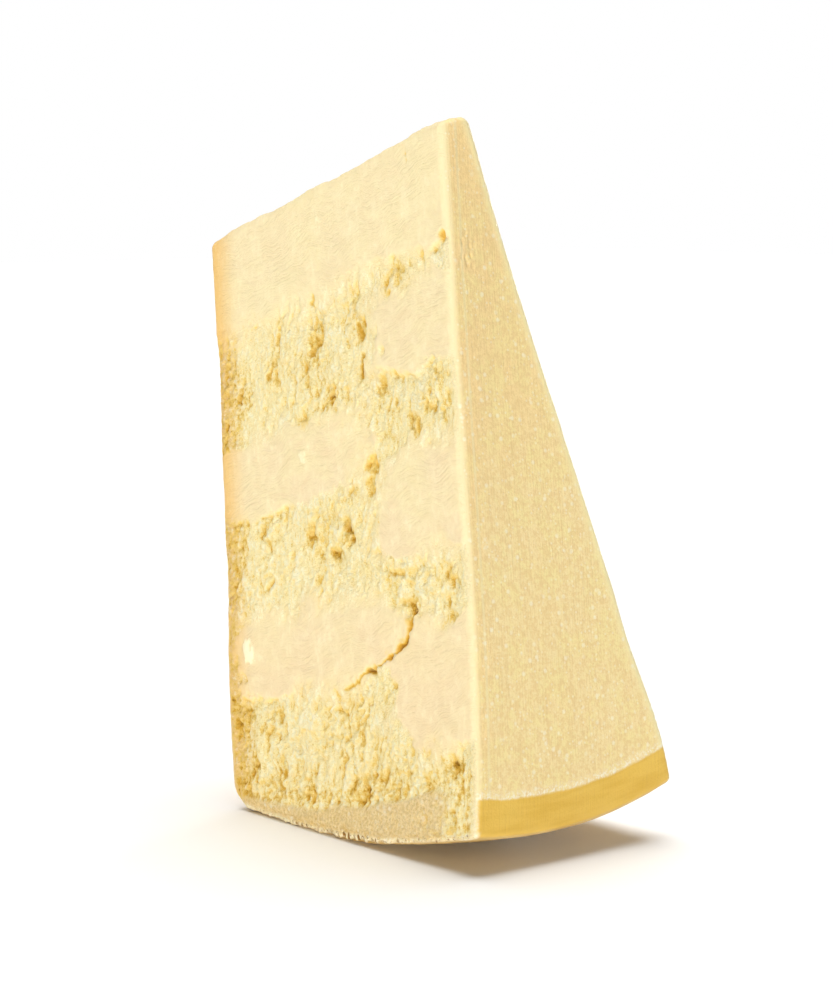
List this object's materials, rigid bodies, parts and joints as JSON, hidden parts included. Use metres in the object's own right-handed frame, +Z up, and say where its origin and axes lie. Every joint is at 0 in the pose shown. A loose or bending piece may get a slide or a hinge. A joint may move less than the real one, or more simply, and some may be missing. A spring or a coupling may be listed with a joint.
{
  "type": "hard cheese wedge",
  "caption": "Wedge of aged hard cheese broken from a wheel: craggy broken faces with smooth knife marks, a plain cut face and a golden rind, standing on its rim.",
  "frame": {"origin": "on the floor, under the middle of the wedge's box", "axes": "+Z up, towards the broken tip; -Y out of the plain cut face; -X out of the near broken face; +Y out of the wheel's flat rind"},
  "size_m": [0.0704, 0.1302, 0.1874],
  "materials": {
    "cheese": "matte pale straw paste with a golden rind"
  },
  "bodies": {
    "root": {"cheese_wedge": "cheese"}
  },
  "joints": []
}
